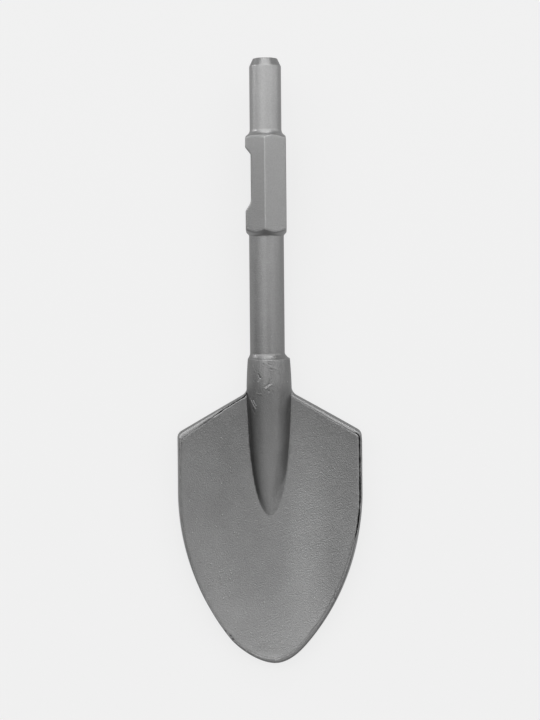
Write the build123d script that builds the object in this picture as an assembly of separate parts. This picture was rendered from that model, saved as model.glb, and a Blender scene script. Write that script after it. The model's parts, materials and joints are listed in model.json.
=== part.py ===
from build123d import *
from math import asin, atan2, cos, degrees, hypot, radians, sin, sqrt, tan
import os

# A spade chisel for a demolition hammer, forged in one piece: a striking end,
# a hexagonal shank with a retainer notch, a round shaft, a flared neck, and a
# pointed dished blade with a half-round rib that sinks into its hollow face.
#
# The tool is drawn with the shank's axis along Y. A station is a distance in
# millimetres from the striking end, and it runs towards -Y. X is across the
# blade and Z points out of its hollow face. At the end the tool is laid down
# on its back, as it comes to rest on a floor.

# Striking end
nose_diameter = 18.2
nose_length = 6.0
nose_edge_radius = 0.7
pilot_diameter = 23.8
pilot_end = 54.3

# Hexagonal shank, a corner towards the face
hex_across_flats = 30.0
hex_top_cove_radius = 3.0
hex_chamfer_angle = 50.0
hex_end = 127.9
hex_lower_cone_end = 132.0
hex_root_radius = 2.5

# Retainer notch in the flat on the -X side
notch_depth = 4.15
notch_mouth_start = 66.7
notch_floor_start = 72.1
notch_floor_end = 107.6
notch_mouth_end = 113.8
notch_upper_radius = 1.5
notch_lower_radius = 8.0

# Round shaft, and the flared neck, which the forging left off centre
shaft_diameter = 26.0
flare_radius = 4.5
flare_sweep = 85.0
flare_sink = 0.05
collar_station = 223.95
collar_diameter = 31.5
neck_diameter = 33.9
neck_end = 243.5
swell_end = 252.0
blade_offset = 1.0

# Rib: the neck's round, bent to sink into the face, and its plainer back
rib_slope = 9.2
rib_bend_radius = 100.0
rib_length = 120.0
back_round_radius = 24.0
back_taper_end = 292.0
back_taper_end_depth = 7.4

# Blade: its front edge in plan
blade_half_width = 66.4
shoulder_station = 250.5
left_shoulder_angle = 30.2
right_shoulder_angle = 29.1
neck_fillet_radius = 7.0
corner_radius = 6.0
flank_start = 324.4
upper_flank_radius = 180.0
upper_flank_sweep = 22.6
lower_flank_radius = 150.0
lower_flank_sweep = 17.4
tip_flank_handle = 11.5
tip_handle = 9.5
tip_skew = 2.9
tip_station = 448.6

# Blade: its dish and its thickness. Face and back are each one curve across,
# carried along a long arc; the back's tighter arc thins the blade to its tip
dish_station = 312.0
face_level = 0.8
face_length_radius = 850.0
face_side_rise = 8.4
back_level = -6.8
back_length_radius = 690.0
back_side_rise = 7.9
dish_margin = 6.0
dish_curve_points = 6

# How far a cutter, or a blank before its cut, runs past what it meets
overcut = 3.0


def place(x, station, z=0.0):
    """A point of the tool from its place across, its station and its height."""
    return Vector(x, -station, z)


def revolve_profile(radii):
    """A turned solid round the shank's axis from (radius, station) corners."""
    outline = Polyline(*[place(radius, station) for radius, station in radii], close=True)
    return revolve(make_face(outline), Axis.Y, 360)


def shank():
    """Pilot, hexagon and shaft: turned in one, then flattened and notched."""
    pilot_radius = pilot_diameter / 2
    shaft_radius = shaft_diameter / 2
    hex_corner_radius = hex_across_flats / 2 / cos(radians(30))
    outer_radius = hex_corner_radius + overcut
    steepness = tan(radians(hex_chamfer_angle))
    cove_end_radius = pilot_radius + hex_top_cove_radius * (1 - cos(radians(hex_chamfer_angle)))
    cove_end_station = pilot_end + hex_top_cove_radius * sin(radians(hex_chamfer_angle))
    lower_slope = (hex_lower_cone_end - hex_end) / (hex_corner_radius - shaft_radius)
    nose = place(nose_diameter / 2, 0)
    cove_start = place(pilot_radius, pilot_end)
    cove_end = place(cove_end_radius, cove_end_station)
    root = place(shaft_radius, hex_lower_cone_end)
    outline = [
        Polyline(place(0, 0), nose, place(pilot_radius, nose_length), cove_start),
        TangentArc(cove_start, cove_end, tangent=(0, -1, 0)),
        Polyline(
            cove_end,
            place(outer_radius, cove_end_station + (outer_radius - cove_end_radius) / steepness),
            place(outer_radius, hex_end - lower_slope * (outer_radius - hex_corner_radius)),
            root,
            place(shaft_radius, neck_end),
            place(0, neck_end),
            place(0, 0),
        ),
    ]
    half_section = make_face(outline)
    nose_corner = half_section.vertices().sort_by_distance(nose)[0]
    half_section = fillet(nose_corner, nose_edge_radius)
    root_corner = half_section.vertices().sort_by_distance(root)[0]
    half_section = fillet(root_corner, hex_root_radius)
    turned = revolve(half_section, Axis.Y, 360)
    across = RegularPolygon(hex_across_flats / 2, 6, major_radius=False, rotation=90)
    hexagon = Plane(origin=place(0, -overcut), x_dir=(1, 0, 0), z_dir=(0, -1, 0)) * across
    return (turned & extrude(hexagon, neck_end + 2 * overcut)) - notch()


def notch():
    """The cutter for the retainer notch, straight through the flat."""
    flat = -hex_across_flats / 2
    floor = flat + notch_depth
    outside = flat - overcut
    upper_lean = (notch_floor_start - notch_mouth_start) / notch_depth
    lower_lean = (notch_mouth_end - notch_floor_end) / notch_depth
    corners = [
        place(outside, notch_mouth_start - overcut * upper_lean),
        place(floor, notch_floor_start),
        place(floor, notch_floor_end),
        place(outside, notch_mouth_end + overcut * lower_lean),
    ]
    profile = make_face(Polyline(*corners, close=True))
    upper_corner = profile.vertices().sort_by_distance(corners[1])[0]
    profile = fillet(upper_corner, notch_upper_radius)
    lower_corner = profile.vertices().sort_by_distance(corners[2])[0]
    profile = fillet(lower_corner, notch_lower_radius)
    return extrude(profile, hex_across_flats, both=True)


def flare_envelope():
    """What lies below the cove that the collar's upper edge runs out in."""
    radius = shaft_diameter / 2 - flare_sink
    rise = collar_diameter / 2 - radius
    flare_start = collar_station - sqrt(flare_radius**2 - (flare_radius - rise) ** 2)
    outer_radius = neck_diameter
    cove_top = place(radius, flare_start)
    cove_end_station = flare_start + flare_radius * sin(radians(flare_sweep))
    cove_end = place(radius + flare_radius * (1 - cos(radians(flare_sweep))), cove_end_station)
    bottom = neck_end + rib_length
    outline = [
        TangentArc(cove_top, cove_end, tangent=(0, -1, 0)),
        Polyline(
            cove_end,
            place(outer_radius, cove_end_station),
            place(outer_radius, bottom),
            place(0, bottom),
            place(0, flare_start),
            cove_top,
        ),
    ]
    return revolve(make_face(outline), Axis.Y, 360)


def bar_radius(station):
    """The neck's radius, which swells from the collar and levels out in the rib."""
    rest = max(swell_end - station, 0) / (swell_end - collar_station)
    return neck_diameter / 2 - (neck_diameter - collar_diameter) / 2 * rest**2


def bar_section(station, turn=0.0):
    """The neck's round section, where it has turned so far from the bend's start."""
    angle = radians(turn)
    centre = place(blade_offset, station + rib_bend_radius * sin(angle), -rib_bend_radius * (1 - cos(angle)))
    direction = Vector(0, -cos(angle), -sin(angle))
    radius = bar_radius(station + rib_bend_radius * sin(angle))
    return Plane(origin=centre, x_dir=(1, 0, 0), z_dir=direction) * Circle(radius)


def neck_and_rib():
    """The neck, bent down and carried on as the rib until it has sunk into the face."""
    bend_start = neck_end - rib_bend_radius * tan(radians(rib_slope / 2))
    straight = [bar_section(collar_station - flare_radius), bar_section(collar_station), bar_section(bend_start)]
    bent = [bar_section(bend_start, rib_slope / 2), bar_section(bend_start, rib_slope)]
    rib = extrude(bent[-1], rib_length)
    return (loft(straight + bent) & flare_envelope()) + rib


def back_round():
    """The large round that the back is drawn down to, from the collar's lowest point."""
    collar_radius = collar_diameter / 2
    run = back_taper_end - collar_station
    taper = atan2(collar_radius - back_taper_end_depth, run)
    direction = Vector(0, -cos(taper), sin(taper))
    axis_point = place(blade_offset, collar_station, back_round_radius / cos(taper) - collar_radius)
    start = axis_point - direction * back_round_radius
    section = Plane(origin=start, x_dir=(1, 0, 0), z_dir=direction) * Circle(back_round_radius)
    return extrude(section, rib_length + 2 * back_round_radius)


def dished_surface(level, length_radius, side_rise):
    """A hollow surface: a cubic rise to either side, carried along a long arc."""
    half = blade_half_width + dish_margin
    points = []
    for step in range(-dish_curve_points, dish_curve_points + 1):
        across = half * step / dish_curve_points
        rise = side_rise * abs(across / blade_half_width) ** 3
        points.append(place(across + blade_offset, dish_station, level + rise))
    hinge = Axis(place(0, dish_station, level + length_radius), (-1, 0, 0))
    start = degrees(asin((neck_end - dish_margin - dish_station) / length_radius))
    end = degrees(asin((tip_station + dish_margin - dish_station) / length_radius))
    across_curve = Spline(*points).rotate(hinge, start)
    return Face.revolve(across_curve, end - start, hinge)


def blade_outline():
    """The blade's front edge in plan, from inside the neck round to the tip."""
    neck_half = neck_diameter / 2
    half = blade_half_width
    top = neck_end - 1
    tip = place(tip_skew, tip_station)
    pieces = [Line(place(-neck_half, top), place(neck_half, top))]
    for side, angle in ((-1, left_shoulder_angle), (1, right_shoulder_angle)):
        corner_station = shoulder_station + (half - neck_half) * tan(radians(angle))
        upper_edge = FilletPolyline(
            place(side * neck_half, top),
            place(side * neck_half, shoulder_station),
            place(side * half, corner_station),
            place(side * half, flank_start),
            radius=[neck_fillet_radius, corner_radius],
        )
        upper_flank = JernArc(upper_edge @ 1, upper_edge % 1, upper_flank_radius, -side * upper_flank_sweep)
        lower_flank = JernArc(upper_flank @ 1, upper_flank % 1, lower_flank_radius, -side * lower_flank_sweep)
        flank_end = lower_flank @ 1
        tip_curve = Bezier(
            flank_end,
            flank_end + (lower_flank % 1) * tip_flank_handle,
            tip + Vector(side * tip_handle, 0),
            tip,
        )
        pieces += [upper_edge, upper_flank, lower_flank, tip_curve]
    return make_face(pieces)


def blade():
    """The dished plate, its edges square to its face."""
    face = dished_surface(face_level, face_length_radius, face_side_rise)
    depth = blade_half_width
    face = face & (Pos(blade_offset, 0, -depth) * extrude(blade_outline(), 2 * depth))
    block = thicken(face, face_level - back_level + overcut, normal_override=(0, 0, -1))
    back = dished_surface(back_level, back_length_radius, back_side_rise)
    return block - extrude(back, depth, dir=(0, 0, -1))


def rest_pitch():
    """The angle at which the tool lies on its collar's edge and its blade's back.

    The floor runs from the collar's lowest point and touches the back's long arc.
    """
    run = dish_station - collar_station
    rise = back_level + back_length_radius + collar_diameter / 2
    to_centre = atan2(rise, run)
    to_floor = asin(back_length_radius / hypot(run, rise))
    return degrees(to_centre - to_floor)


def spade_chisel():
    """The whole tool in one solid, in its own drawing frame."""
    bar = neck_and_rib() & back_round()
    return shank() + bar + blade()


def lay_down(tool):
    """Turn the tool on to its back, with the origin under the middle of its box."""
    laid = Rot(X=rest_pitch()) * tool
    box = laid.bounding_box()
    return Pos(-box.center().X, -box.center().Y, -box.min.Z) * laid


if __name__ == "__main__":
    os.makedirs("parts", exist_ok=True)
    export_step(lay_down(spade_chisel()), "parts/spade_chisel.step")
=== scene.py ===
"""Dresses the spade chisel: its forged surface, the studio and the camera.

Shapes are worked out in the tool's own coordinates, in millimetres: how far
across the blade, the station (the distance from the striking end) and the
height out of the hollow face. ToolFrame turns them into the row frame.
"""

from __future__ import annotations

import json
import logging
import math
from dataclasses import dataclass, field
from enum import Enum

import bmesh
import bpy
import numpy as np
from mathutils import Matrix, Vector
from mathutils.kdtree import KDTree

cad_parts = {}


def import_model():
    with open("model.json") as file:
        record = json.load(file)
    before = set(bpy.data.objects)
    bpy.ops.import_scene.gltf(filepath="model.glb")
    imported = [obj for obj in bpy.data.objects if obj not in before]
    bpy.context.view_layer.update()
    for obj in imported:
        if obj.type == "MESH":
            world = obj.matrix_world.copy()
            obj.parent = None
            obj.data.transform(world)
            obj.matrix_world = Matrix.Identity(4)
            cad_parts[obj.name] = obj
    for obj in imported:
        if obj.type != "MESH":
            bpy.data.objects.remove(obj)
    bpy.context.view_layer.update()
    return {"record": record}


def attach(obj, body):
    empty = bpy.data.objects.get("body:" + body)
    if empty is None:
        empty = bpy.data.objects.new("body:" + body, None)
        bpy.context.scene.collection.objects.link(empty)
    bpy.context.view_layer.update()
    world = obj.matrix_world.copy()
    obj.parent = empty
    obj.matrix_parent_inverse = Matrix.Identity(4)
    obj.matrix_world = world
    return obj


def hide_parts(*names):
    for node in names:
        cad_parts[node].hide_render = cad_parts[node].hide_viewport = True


NODE = "spade_chisel"
MM = 0.001
MERGE_DISTANCE = 0.00001
THIN_EDGE = 0.000005
OVERHEAD_LEVEL = 6.0
WALL_AWAY = 9.4
LEAST_SQUARE = 1e-9
NOISE_SPAN = (0.3, 0.7)
SHARP_ANGLE = 50

log = logging.getLogger("spade_chisel")


class Side(Enum):
    """The two sides of the blade, seen from its hollow face."""

    LEFT = -1
    RIGHT = 1


@dataclass(frozen=True)
class ToolFrame:
    """The tool's own axes as it lies in the row frame."""

    origin: Vector
    axis: Vector

    @classmethod
    def from_record(cls, record: dict) -> ToolFrame:
        """Read where the tool lies from the mount on its striking end."""
        mount = next(m for m in record["mounts"] if m["name"] == "striking_face")
        return cls(Vector(mount["pos_m"]), Vector(mount["axis"]).normalized())

    @property
    def across(self) -> Vector:
        """The direction across the blade, to the photograph's right."""
        return Vector((1.0, 0.0, 0.0))

    @property
    def up(self) -> Vector:
        """The direction out of the hollow face."""
        return self.across.cross(self.axis)

    @property
    def basis(self) -> np.ndarray:
        """The directions of across, station and height, as rows."""
        return np.array([self.across, -self.axis, self.up])

    def to_row(self, points: np.ndarray) -> np.ndarray:
        """Turn rows of across, station and height, in mm, into the row frame's metres."""
        return np.array(self.origin) + points @ self.basis * MM

    def to_tool(self, points: np.ndarray) -> np.ndarray:
        """Turn the row frame's metres back into across, station and height, in mm."""
        return (points - np.array(self.origin)) @ self.basis.T / MM


def soft_min(*values: np.ndarray, sharpness: float = 90.0) -> np.ndarray:
    """Take the least of several positive radii, with a small round where they meet.

    Args:
        values: Radii, as arrays that broadcast together.
        sharpness: The power of the mean; a higher one gives a sharper edge.

    Returns:
        The rounded minimum.
    """
    least = values[0]
    for value in values[1:]:
        least = np.minimum(least, value)
    total = sum((least / value) ** sharpness for value in values)
    return least * total ** (-1 / sharpness)


def rounded_path(corners: list[tuple[float, float]], radii: list[float], step: float) -> np.ndarray:
    """Join corners by straight runs with an arc at each inner corner.

    Args:
        corners: The corner points, first to last.
        radii: One radius for each inner corner; 0 keeps it sharp.
        step: The longest distance between two points of an arc.

    Returns:
        The path's points, in order.
    """
    points = [np.array(corners[0], float)]
    for before, corner, after, radius in zip(corners, corners[1:], corners[2:], radii):
        here = np.array(corner, float)
        into = here - before
        into = into / np.linalg.norm(into)
        out = np.array(after, float) - here
        out = out / np.linalg.norm(out)
        turn = math.atan2(into[0] * out[1] - into[1] * out[0], float(into @ out))
        reach = radius * math.tan(abs(turn) / 2)
        count = max(1, math.ceil(radius * abs(turn) / step))
        start = here - into * reach
        sideways = np.array([-into[1], into[0]]) * math.copysign(1, turn)
        for share in np.linspace(0, 1, count + 1):
            angle = abs(turn) * share
            points.append(start + radius * (math.sin(angle) * into + (1 - math.cos(angle)) * sideways))
    points.append(np.array(corners[-1], float))
    return np.array(points)


def ray_to_ellipse(
    theta: np.ndarray, offset: tuple[np.ndarray, np.ndarray], half: tuple[np.ndarray, np.ndarray]
) -> np.ndarray:
    """Measure from a point inside an ellipse to its edge.

    Args:
        theta: The ray's angle from the across direction.
        offset: The ellipse's centre from that point, across and up.
        half: The ellipse's half width and half height.

    Returns:
        The distance along each ray.
    """
    cos, sin = np.cos(theta), np.sin(theta)
    square = (cos / half[0]) ** 2 + (sin / half[1]) ** 2
    along = offset[0] * cos / half[0] ** 2 + offset[1] * sin / half[1] ** 2
    rest = (offset[0] / half[0]) ** 2 + (offset[1] / half[1]) ** 2 - 1
    return (along + np.sqrt(np.maximum(along**2 - square * rest, 0))) / square


def eased(value: np.ndarray) -> np.ndarray:
    """Hold a value between 0 and 1 and ease it at both ends."""
    share = np.clip(value, 0, 1)
    return share * share * (3 - 2 * share)


def smooth_noise(places: np.ndarray, spacing: float, seed: int) -> np.ndarray:
    """Give a wavering value along a line, the same on every run.

    Args:
        places: Distances along the line.
        spacing: The distance between two of its random values.
        seed: The seed of the random values.

    Returns:
        A value from about -1 to 1 for each place.
    """
    spare = 4
    count = int(np.max(places) / spacing) + spare
    values = np.random.default_rng(seed).uniform(-1, 1, count)
    position = places / spacing
    index = position.astype(int)
    share = eased(position - index)
    return values[index] * (1 - share) + values[index + 1] * share


def tube_object(name: str, loops: np.ndarray, frame: ToolFrame) -> bpy.types.Object:
    """Skin closed loops into one closed mesh.

    Args:
        name: The object's name.
        loops: Loops by points by across, station and height, in millimetres.
            A first or last loop may be a single point, repeated.
        frame: Where the tool lies.

    Returns:
        The object, with its faces pointing outwards.
    """
    rows, columns = loops.shape[:2]
    index = np.arange(rows * columns).reshape(rows, columns)
    after = np.roll(index, -1, axis=1)
    quads = np.stack([index[:-1], after[:-1], after[1:], index[1:]], axis=-1).reshape(-1, 4)
    vertices = frame.to_row(loops.reshape(-1, 3))
    mesh = bpy.data.meshes.new(name)
    mesh.from_pydata(vertices.tolist(), [], quads.tolist())
    thing = bpy.data.objects.new(name, mesh)
    bpy.context.scene.collection.objects.link(thing)
    clean_mesh(thing)
    return thing


def clean_mesh(thing: bpy.types.Object) -> None:
    """Merge doubled points, fill open ends and point the faces outwards.

    Args:
        thing: The mesh object, which is changed.
    """
    work = bmesh.new()
    work.from_mesh(thing.data)
    bmesh.ops.remove_doubles(work, verts=work.verts, dist=MERGE_DISTANCE)
    bmesh.ops.dissolve_degenerate(work, edges=work.edges, dist=THIN_EDGE)
    open_edges = [edge for edge in work.edges if edge.is_boundary]
    if open_edges:
        bmesh.ops.holes_fill(work, edges=open_edges)
    bmesh.ops.recalc_face_normals(work, faces=work.faces)
    work.to_mesh(thing.data)
    work.free()


@dataclass
class Shank:
    """Striking end, hexagon, shaft, neck and rib, in one run of round loops."""

    nose_radius: float = 9.1
    nose_length: float = 6.0
    nose_edge: float = 0.8
    nose_round: float = 1.0
    nose_lean: float = 0.02
    nose_edge_round: float = 0.6
    face_rings: tuple[float, ...] = (0.0, 0.35, 0.7)
    pilot_radius: float = 11.9
    hex_cone_start: float = 55.35
    hex_cone_angle: float = 52.0
    hex_cove: float = 4.5
    hex_inradius: float = 15.0
    hex_envelope: float = 18.3
    hex_cone_end: float = 126.95
    hex_root: float = 132.0
    root_round: float = 1.5
    notch_floor: float = 10.85
    notch_mouth: tuple[float, float] = (66.7, 113.8)
    notch_bottom: tuple[float, float] = (72.1, 107.6)
    notch_rounds: tuple[float, float] = (1.5, 8.0)
    shaft_radius: float = 13.0
    neck_loops_start: float = 200.0
    centre_shift_run: float = 20.0
    back_start: float = 226.0
    collar: float = 223.95
    collar_radius: float = 15.75
    collar_root: float = 220.6
    collar_bend: tuple[float, float] = (223.2, 1.6)
    collar_steep: float = 54.0
    collar_rounds: tuple[float, float] = (3.0, 3.5)
    neck_radius: float = 16.95
    neck_end: float = 243.5
    swell_end: float = 252.0
    blade_offset: float = 1.0
    rib_slope: float = 9.2
    rib_bend: float = 4.0
    rib_end: float = 347.0
    back_radius: float = 24.0
    back_end: float = 292.0
    back_end_depth: float = 7.4
    flat_sharpness: float = 90.0
    cone_sharpness: float = 50.0
    collar_sharpness: float = 160.0
    arc_step: float = 0.1
    notch_arc_step: float = 0.2

    def stations(self) -> np.ndarray:
        """Choose the loops' stations: close at the edges, wide on the plain runs.

        Returns:
            The stations, in order.
        """
        # Each run has a start, an end and the step between its loops.
        runs = [
            (0.0, 1.2, 0.2),
            (1.2, 5.2, 0.8),
            (5.2, 7.0, 0.3),
            (7.0, 52.5, 2.2),
            (52.5, 61.0, 0.38),
            (61.0, 66.0, 1.2),
            (66.0, 73.0, 0.5),
            (73.0, 105.0, 2.2),
            (105.0, 115.0, 0.6),
            (115.0, 126.6, 1.6),
            (126.6, 135.0, 0.35),
            (135.0, 219.0, 2.0),
            (219.0, 226.0, 0.25),
            (226.0, 262.0, 0.75),
            (262.0, self.rib_end, 1.2),
        ]
        pieces = []
        for start, end, step in runs:
            pieces.append(np.linspace(start, end, max(2, round((end - start) / step) + 1))[:-1])
        return np.append(np.concatenate(pieces), self.rib_end)

    def angles(self) -> np.ndarray:
        """Choose the loops' angles: close beside the hexagon's corners.

        Returns:
            The angles from the across direction, in radians and in order.
        """
        half_sector = 30.0
        near = np.array([0.0, 0.5, 1.4, 3.0])
        wide = np.linspace(near[-1], half_sector, 8)[1:-1]
        half = np.concatenate([near, wide])
        sector = np.concatenate([-half[:0:-1], half, [half_sector]])
        corners = half_sector * np.arange(1, 13, 2)
        return np.radians(np.sort((corners[:, None] + sector[None, :]).ravel() % 360))

    def turned_radius(self, stations: np.ndarray) -> np.ndarray:
        """Give the radius that the shank was turned to, before its flats.

        Args:
            stations: Stations along the tool.

        Returns:
            The radius at each.
        """
        nose_step = self.nose_lean * self.nose_edge
        rise = self.hex_envelope - self.pilot_radius
        cone_end = self.hex_cone_start + rise / math.tan(math.radians(self.hex_cone_angle))
        corners = [
            (0.0, self.nose_radius - self.nose_edge),
            (nose_step, self.nose_radius),
            (self.nose_length, self.pilot_radius),
            (self.hex_cone_start, self.pilot_radius),
            (cone_end, self.hex_envelope),
            (self.hex_cone_end, self.hex_envelope),
            (self.hex_root, self.shaft_radius),
            (self.rib_end + 1, self.shaft_radius),
        ]
        edge_round = self.nose_edge_round * self.nose_edge
        radii = [edge_round, self.nose_round, self.hex_cove, 0.0, 0.0, self.root_round]
        path = rounded_path(corners, radii, self.arc_step)
        return np.interp(stations, path[:, 0], path[:, 1])

    def notch_radius(self, theta: np.ndarray, stations: np.ndarray) -> np.ndarray:
        """Give the distance from the axis to the notch's floor and ramps.

        Args:
            theta: Angles, in a row.
            stations: Stations, in a column.

        Returns:
            The distance, and a large one where the notch doesn't reach.
        """
        start, end = self.notch_mouth
        bottom_start, bottom_end = self.notch_bottom
        drop = self.hex_inradius - self.notch_floor
        steep_in = (bottom_start - start) / drop
        steep_out = (end - bottom_end) / drop
        outside = 6.0
        corners = [
            (start - outside * steep_in, self.hex_inradius + outside),
            (bottom_start, self.notch_floor),
            (bottom_end, self.notch_floor),
            (end + outside * steep_out, self.hex_inradius + outside),
        ]
        path = rounded_path(corners, list(self.notch_rounds), self.notch_arc_step)
        far = self.hex_inradius + outside
        depth = np.interp(stations, path[:, 0], path[:, 1], left=far, right=far)
        least_facing = 0.05
        return depth / np.maximum(-np.cos(theta), least_facing)

    def rib_drop(self, stations: np.ndarray) -> np.ndarray:
        """Give how far the rib's centre line has sunk below the shank's axis."""
        run = stations - self.neck_end
        return math.tan(math.radians(self.rib_slope)) * (np.hypot(run, self.rib_bend) + run) / 2

    def rib_stretch(self, stations: np.ndarray) -> np.ndarray:
        """Give how much taller the sloping round is in a section square to the axis.

        Args:
            stations: Stations along the tool.

        Returns:
            The factor at each.
        """
        run = stations - self.neck_end
        slope = math.tan(math.radians(self.rib_slope)) * (1 + run / np.hypot(run, self.rib_bend)) / 2
        return np.sqrt(1 + slope**2)

    def bar_radius(self, stations: np.ndarray) -> np.ndarray:
        """Give the radius of the neck, which swells from the collar into the rib."""
        rest = np.maximum(self.swell_end - stations, 0) / (self.swell_end - self.collar)
        return self.neck_radius - (self.neck_radius - self.collar_radius) * rest**2

    def collar_lift(self, stations: np.ndarray) -> np.ndarray:
        """Give how far the collar's flared root has grown over the shaft.

        Args:
            stations: Stations along the tool.

        Returns:
            The growth in radius at each.
        """
        bend_station, bend_lift = self.collar_bend
        beyond = 10.0
        steep_lift = bend_lift + beyond * math.tan(math.radians(self.collar_steep))
        corners = [
            (self.collar_root - beyond, 0.0),
            (self.collar_root, 0.0),
            self.collar_bend,
            (bend_station + beyond, steep_lift),
        ]
        path = rounded_path(corners, list(self.collar_rounds), self.arc_step)
        return np.interp(stations, path[:, 0], path[:, 1])

    def shank_radius(self, theta: np.ndarray, s: np.ndarray) -> np.ndarray:
        """Give the radius of everything above the collar.

        Args:
            theta: Angles, in a row.
            s: Stations, in a column.

        Returns:
            The distance from the axis.
        """
        facing = [np.maximum(np.cos(theta - math.radians(turn)), 0) for turn in range(0, 360, 60)]
        flats = sum(value**self.flat_sharpness for value in facing)
        hexagon = self.hex_inradius * flats ** (-1 / self.flat_sharpness)
        turned = self.turned_radius(s) + 0 * theta
        body = soft_min(turned, hexagon + 0 * s, sharpness=self.cone_sharpness)
        return soft_min(body, self.notch_radius(theta, s), sharpness=self.flat_sharpness)

    def loops(self) -> np.ndarray:
        """Work out every loop.

        Returns:
            Loops by points by across, station and height, in millimetres.
        """
        theta = self.angles()[None, :]
        s = self.stations()[:, None]
        drop = self.rib_drop(s)
        taper = math.atan2(self.collar_radius - self.back_end_depth, self.back_end - self.collar)
        floor_line = (s - self.collar) * math.tan(taper) - self.collar_radius
        past = s - self.neck_loops_start
        centre_x = self.blade_offset * np.clip(past / self.centre_shift_run, 0, 1)
        ease = np.clip((s - self.back_start) / (self.neck_end - self.back_start), 0, 1)
        centre_z = ease * (self.neck_radius - drop + floor_line) / 2
        off_axis = (-centre_x, -centre_z)
        shaft = ray_to_ellipse(theta, off_axis, (self.shaft_radius, self.shaft_radius))

        out_of_reach = 4 * self.neck_radius
        radius = self.bar_radius(s)
        bar_offset = (self.blade_offset - centre_x, -drop - centre_z)
        bar = ray_to_ellipse(theta, bar_offset, (radius, radius * self.rib_stretch(s)))
        lift = self.collar_lift(s)
        shift = self.blade_offset * np.clip(lift / (self.collar_radius - self.shaft_radius), 0, 1)
        flare = self.shaft_radius + lift
        cove = ray_to_ellipse(theta, (shift - centre_x, -centre_z), (flare, flare))
        back_half = self.back_radius / math.cos(taper)
        back_offset = (self.blade_offset - centre_x, floor_line + back_half - centre_z)
        back = ray_to_ellipse(theta, back_offset, (self.back_radius, back_half))
        back = np.where(s > self.collar, back, out_of_reach)
        bar = soft_min(bar, cove, back, sharpness=self.collar_sharpness)
        neck = np.where(lift > 0, bar, shaft)
        radius = np.where(past > 0, neck, self.shank_radius(theta, s))
        across = centre_x + radius * np.cos(theta)
        height = centre_z + radius * np.sin(theta)
        return np.stack([across, s + 0 * theta, height], axis=-1)

    def build(self, frame: ToolFrame) -> bpy.types.Object:
        """Build the closed mesh, with rings on its striking face.

        Args:
            frame: Where the tool lies.

        Returns:
            The mesh object.
        """
        loops = self.loops()
        first, last = loops[0], loops[-1]
        face_rings = [first * [share, 1, share] for share in self.face_rings]
        end_point = np.broadcast_to(last.mean(axis=0), last.shape)
        stack = np.concatenate([np.array(face_rings), loops, end_point[None]])
        return tube_object("shank_form", stack, frame)


@dataclass(frozen=True)
class RimRun:
    """How the rim's section changes from the neck to the tip, in millimetres.

    The lip is the face's edge. Below it a slot may part it from the strip
    that the trimmed flash left; with a slot as deep as the strip's inner
    edge there is none, and the strip is a plain bevel.
    """

    station: tuple[float, ...]
    lip: tuple[float, ...]
    slot_depth: tuple[float, ...]
    strip_inner: tuple[float, ...]
    strip_inner_depth: tuple[float, ...]
    strip_outer: tuple[float, ...]
    strip_outer_depth: tuple[float, ...]

    def at(self, name: str, stations: np.ndarray) -> np.ndarray:
        """Give one of the sizes at every station."""
        return np.interp(stations, self.station, getattr(self, name))


LEFT_RIM = RimRun(
    station=(242, 250, 253, 257, 261, 266, 273, 279, 285, 300, 345, 380, 425, 440, 448.6),
    lip=(0.9, 1.0, 1.4, 1.5, 1.7, 2.2, 3.0, 3.8, 1.7, 1.1, 1.0, 1.0, 1.0, 2.2, 3.6),
    slot_depth=(0.3, 1.6, 2.1, 2.1, 1.7, 0.4, 0.12, 0.1, 0.15, 0.2, 0.2, 0.3, 0.3, 0.3, 0.3),
    strip_inner=(-0.6, -0.4, -0.6, -0.8, -1.0, -1.7, -2.6, -3.4, -1.4, -0.9, -0.8, -0.7, -0.7, -1.7, -3.0),
    strip_inner_depth=(0.3, 0.5, 0.6, 0.6, 0.5, 0.3, 0.12, 0.1, 0.15, 0.2, 0.2, 0.3, 0.3, 0.3, 0.3),
    strip_outer=(-0.1, -0.1, -0.1, -0.1, -0.1, -0.1, -0.1, -0.1, 0.0, 0.0, 0.0, 0.0, 0.0, -0.1, -0.1),
    strip_outer_depth=(0.7, 0.7, 0.6, 0.6, 0.6, 0.7, 0.8, 1.0, 0.8, 0.8, 0.8, 0.9, 1.0, 1.2, 1.3),
)
RIGHT_RIM = RimRun(
    station=(242, 255, 270, 277, 281, 285, 300, 330, 345, 354, 362, 380, 420, 440, 448.6),
    lip=(1.5, 1.8, 2.2, 2.6, 1.0, 0.75, 0.7, 0.75, 0.9, 1.2, 1.8, 2.3, 2.7, 3.2, 3.6),
    slot_depth=(0.2, 0.2, 0.2, 0.25, 2.8, 3.8, 3.9, 3.7, 3.0, 1.6, 0.5, 0.25, 0.25, 0.3, 0.3),
    strip_inner=(-0.9, -1.0, -1.0, -1.2, -0.2, -0.05, 0.0, 0.0, -0.1, -0.4, -1.3, -2.0, -2.4, -2.8, -3.0),
    strip_inner_depth=(0.3, 0.3, 0.3, 0.3, 1.8, 2.7, 2.8, 2.6, 2.0, 1.2, 0.45, 0.25, 0.25, 0.3, 0.3),
    strip_outer=(-0.1, -0.1, -0.1, 0.1, 0.8, 1.15, 1.15, 1.1, 0.8, 0.3, -0.1, 0.0, 0.0, 0.0, -0.1),
    strip_outer_depth=(0.9, 0.9, 0.85, 1.0, 2.6, 3.2, 3.3, 3.1, 2.6, 2.0, 1.5, 1.3, 1.3, 1.3, 1.3),
)


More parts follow.
